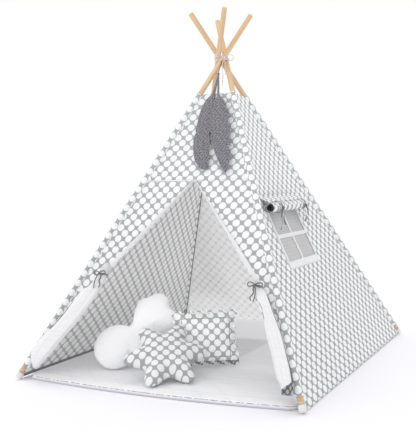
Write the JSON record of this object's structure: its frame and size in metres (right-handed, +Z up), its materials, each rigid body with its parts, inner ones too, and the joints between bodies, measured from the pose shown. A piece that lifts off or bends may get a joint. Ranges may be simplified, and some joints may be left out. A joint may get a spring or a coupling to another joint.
{
  "type": "kids teepee",
  "caption": "Child's pole teepee with a dotted cotton canopy, tied-back door curtains, a shaded window, a padded floor mat, loose cushions and hanging felt feathers.",
  "frame": {"origin": "On the floor at the middle of the tent's footprint, under the lashing where the poles cross.", "axes": "+Z up; the door faces -Y; the window wall faces +X, on the right of someone who looks at the door."},
  "size_m": [1.2168, 1.384, 1.4896],
  "materials": {
    "pine": "planed pale pine, bare and lightly sanded",
    "clear_rubber": "milky translucent end caps",
    "white_elastic": "woven white elastic",
    "dotted_cotton": "plain-weave cotton, grey ground with large white dots",
    "dotted_binding": "narrow binding of the dotted cotton",
    "white_quilt": "white cotton lining, lightly quilted",
    "mat_quilt": "padded pale cotton with stitched lines",
    "white_plush": "soft white fleece",
    "white_tape": "white cotton tape, stitched down",
    "window_gauze": "fine see-through gauze",
    "tie_ribbon": "dark grey cotton ribbon and cord",
    "beige_cord": "twisted beige-pink cotton cord",
    "grey_felt": "heathered dark grey felt"
  },
  "bodies": {
    "root": {"pole_front_left": "pine", "foot_cap_front_left": "clear_rubber", "foot_loop_front_left": "white_elastic", "sleeve_front_left": "dotted_cotton", "pole_front_right": "pine", "foot_cap_front_right": "clear_rubber", "foot_loop_front_right": "white_elastic", "sleeve_front_right": "dotted_cotton", "pole_back_left": "pine", "foot_cap_back_left": "clear_rubber", "foot_loop_back_left": "white_elastic", "sleeve_back_left": "dotted_cotton", "pole_back_right": "pine", "foot_cap_back_right": "clear_rubber", "foot_loop_back_right": "white_elastic", "sleeve_back_right": "dotted_cotton", "left_panel": "dotted_cotton", "back_panel": "dotted_cotton", "right_panel": "dotted_cotton", "front_upper_panel": "dotted_cotton", "door_panel_left": "dotted_cotton", "door_panel_right": "dotted_cotton", "door_fold_left": "white_quilt", "door_fold_right": "white_quilt", "window_frame": "white_tape", "window_mesh": "window_gauze", "shade_sheet": "dotted_cotton", "lashing": "beige_cord", "lashing_bow": "beige_cord", "feather_cord": "tie_ribbon", "mat_pad": "mat_quilt", "mat_binding": "dotted_binding"},
    "door_left": {"door_gather_left": "white_quilt", "door_tie_left": "tie_ribbon", "door_bow_left": "tie_ribbon"},
    "door_right": {"door_gather_right": "white_quilt", "door_tie_right": "tie_ribbon", "door_bow_right": "tie_ribbon"},
    "shade": {"shade_roll": "dotted_cotton", "shade_tie_front": "tie_ribbon", "shade_tie_back": "tie_ribbon", "shade_tails_front": "tie_ribbon", "shade_tails_back": "tie_ribbon"},
    "feather_left": {"feather_left": "grey_felt"},
    "feather_right": {"feather_right": "grey_felt"},
    "cushion_square": {"cushion_square": "dotted_cotton"},
    "cushion_cloud": {"cushion_cloud": "white_plush"},
    "cushion_star": {"cushion_star": "dotted_cotton"}
  },
  "joints": [
    {"name": "door_left_swing", "type": "hinge", "parent": "root", "child": "door_left", "pos_m": [-0.21827, -0.27505, 0.77], "axis": [0, -0.8851, 0.4655], "range_deg": [0, 29]},
    {"name": "door_right_swing", "type": "hinge", "parent": "root", "child": "door_right", "pos_m": [0.21827, -0.27505, 0.77], "axis": [0, 0.8851, -0.4655], "range_deg": [0, 33]},
    {"name": "shade_unroll", "type": "slide", "parent": "root", "child": "shade", "axis": [0.4209, 0, -0.9071], "range_m": [0, 0.26]},
    {"name": "feather_left_swing", "type": "hinge", "parent": "root", "child": "feather_left", "pos_m": [0.008, -0.04893, 1.2193], "axis": [0, -0.8851, 0.4655], "range_deg": [-10, 14]},
    {"name": "feather_right_swing", "type": "hinge", "parent": "root", "child": "feather_right", "pos_m": [0.008, -0.04893, 1.2193], "axis": [0, -0.8851, 0.4655], "range_deg": [-24, 2]},
    {"name": "cushion_square_lift", "type": "slide", "parent": "root", "child": "cushion_square", "axis": [0.3006, 0.501, 0.8116], "range_m": [0, 0.15]},
    {"name": "cushion_cloud_lift", "type": "slide", "parent": "root", "child": "cushion_cloud", "axis": [-0.4993, 0.3994, 0.7689], "range_m": [0, 0.15]},
    {"name": "cushion_star_lift", "type": "slide", "parent": "root", "child": "cushion_star", "axis": [0, 0.4655, 0.8851], "range_m": [0, 0.12]}
  ]
}
